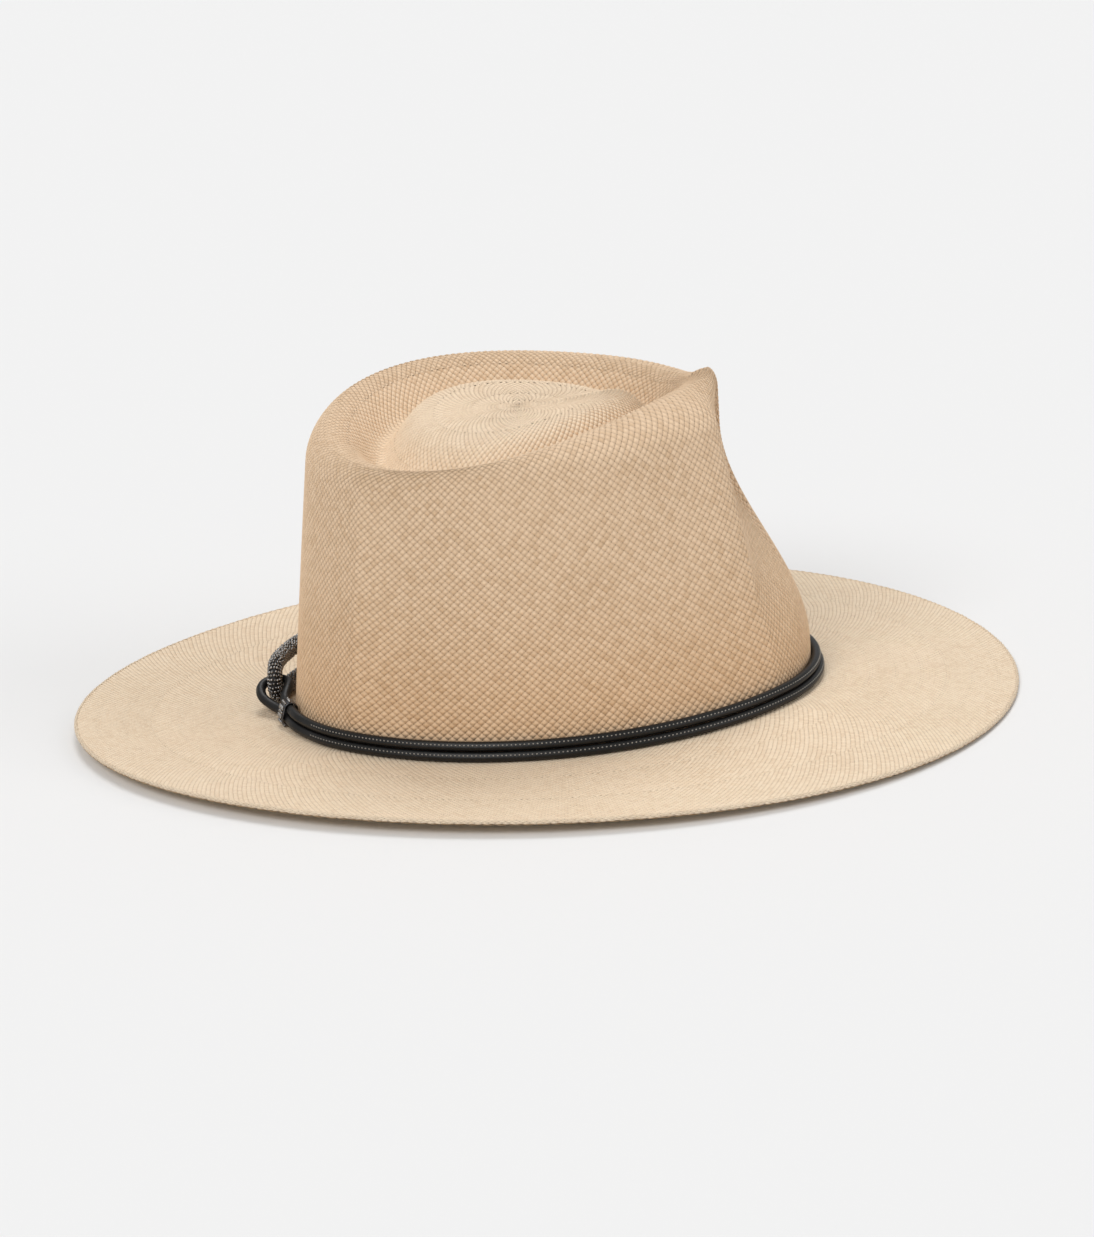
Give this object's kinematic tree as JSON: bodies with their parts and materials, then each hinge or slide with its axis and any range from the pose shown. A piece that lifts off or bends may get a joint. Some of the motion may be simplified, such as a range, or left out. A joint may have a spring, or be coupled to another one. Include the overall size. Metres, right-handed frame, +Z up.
{
  "type": "panama hat",
  "caption": "Wide-brimmed hat woven from straw, with a teardrop crown, and a removable band of rolled leather cord closed by a beaded link.",
  "frame": {"origin": "on the surface that the hat rests on, under the centre of its bounding box", "axes": "+X to the wearer's front, +Y to the wearer's left, +Z up"},
  "size_m": [0.378, 0.3265, 0.1296],
  "materials": {
    "straw": "woven straw, matt",
    "sweatband_leather": "smooth, satin",
    "reed": "matt",
    "thread": "matt",
    "ribbon": "ribbed, satin",
    "tab_cloth": "matt",
    "cord_leather": "smooth, satin",
    "cord_stitching": "matt",
    "filler": "matt",
    "beads": "dark gunmetal, bright",
    "keeper_metal": "dark gunmetal"
  },
  "bodies": {
    "hat": {"straw_body": "straw", "sweatband": "sweatband_leather", "sweatband_reed": "reed", "sweatband_stitches": "thread", "sweatband_bow": "ribbon", "size_tab": "tab_cloth"},
    "band": {"cord_cover": "cord_leather", "cord_core": "filler", "cord_thread": "cord_stitching", "link_core": "filler", "link_beads": "beads"},
    "keeper_right": {"keeper_right_ring": "keeper_metal", "keeper_right_beads": "beads"},
    "keeper_left": {"keeper_left_ring": "keeper_metal", "keeper_left_beads": "beads"}
  },
  "joints": [
    {"name": "band_lift", "type": "slide", "parent": "hat", "child": "band", "axis": [0, 0, 1], "range_m": [0, 0.14]},
    {"name": "keeper_right_slide", "type": "slide", "parent": "band", "child": "keeper_right", "axis": [0.1606, -0.987, 0.0034], "range_m": [0, 0.005]},
    {"name": "keeper_left_slide", "type": "slide", "parent": "band", "child": "keeper_left", "axis": [0.8544, 0.5192, 0.0179], "range_m": [0, 0.005]}
  ]
}
